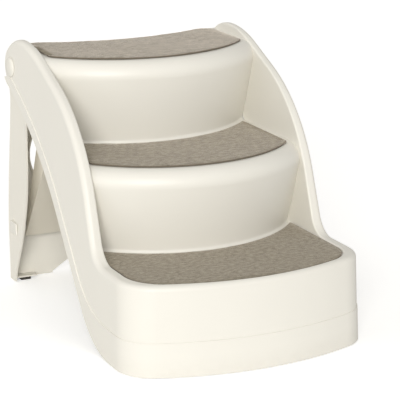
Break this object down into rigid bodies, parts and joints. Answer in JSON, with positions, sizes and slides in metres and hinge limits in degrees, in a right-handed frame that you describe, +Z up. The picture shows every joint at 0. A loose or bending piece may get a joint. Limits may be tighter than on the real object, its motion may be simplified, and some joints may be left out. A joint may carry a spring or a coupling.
{
  "type": "folding pet stairs",
  "caption": "Folding pet stairs in one moulded body with bowed treads between rounded rails, felt mats, a windowed rear leg and a folding brace.",
  "frame": {"origin": "on the floor, under the middle of the whole part's bounding box", "axes": "+X to the right across the treads as seen from the front, +Y from the front lip to the rear leg, +Z up"},
  "size_m": [0.446, 0.6389, 0.4705],
  "materials": {
    "shell_plastic": "satin moulded cream plastic",
    "leg_plastic": "satin moulded cream plastic",
    "brace_plastic": "satin moulded cream plastic",
    "cap_plastic": "satin moulded cream plastic",
    "mat_felt": "heathered greige felt with a dark cut edge",
    "hook_tape": "moulded nylon hooks",
    "pin_steel": "plain zinc plated",
    "washer_nylon": "plain nylon",
    "pad_rubber": "soft black rubber"
  },
  "bodies": {
    "stair": {"stair_shell": "shell_plastic", "mat_lower": "mat_felt", "mat_middle": "mat_felt", "mat_upper": "mat_felt", "mat_tape_lower": "hook_tape", "mat_tape_middle": "hook_tape", "mat_tape_upper": "hook_tape", "pivot_cap_left": "cap_plastic", "pivot_pin_left": "pin_steel", "pivot_clip_left": "pin_steel", "pivot_washer_left": "washer_nylon", "pivot_cap_right": "cap_plastic", "pivot_pin_right": "pin_steel", "pivot_clip_right": "pin_steel", "pivot_washer_right": "washer_nylon", "base_foot_front_left": "pad_rubber", "base_foot_front_right": "pad_rubber", "base_foot_rear_left": "pad_rubber", "base_foot_rear_right": "pad_rubber"},
    "leg": {"rear_leg": "leg_plastic", "leg_foot_left": "pad_rubber", "leg_foot_right": "pad_rubber", "brace_pin_left": "cap_plastic", "brace_pin_right": "cap_plastic"},
    "brace": {"brace": "brace_plastic"}
  },
  "joints": [
    {"name": "leg_fold", "type": "hinge", "parent": "stair", "child": "leg", "pos_m": [0, 0.2677, 0.4156], "axis": [-1, 0, 0], "range_deg": [0, 42]},
    {"name": "brace_fold", "type": "hinge", "parent": "leg", "child": "brace", "pos_m": [0, 0.2925, 0.1076], "axis": [-1, 0, 0], "range_deg": [0, 23.52]}
  ],
  "couplings": [
    {"joint": "brace_fold", "follows": "leg_fold", "ratio": 0.56}
  ]
}
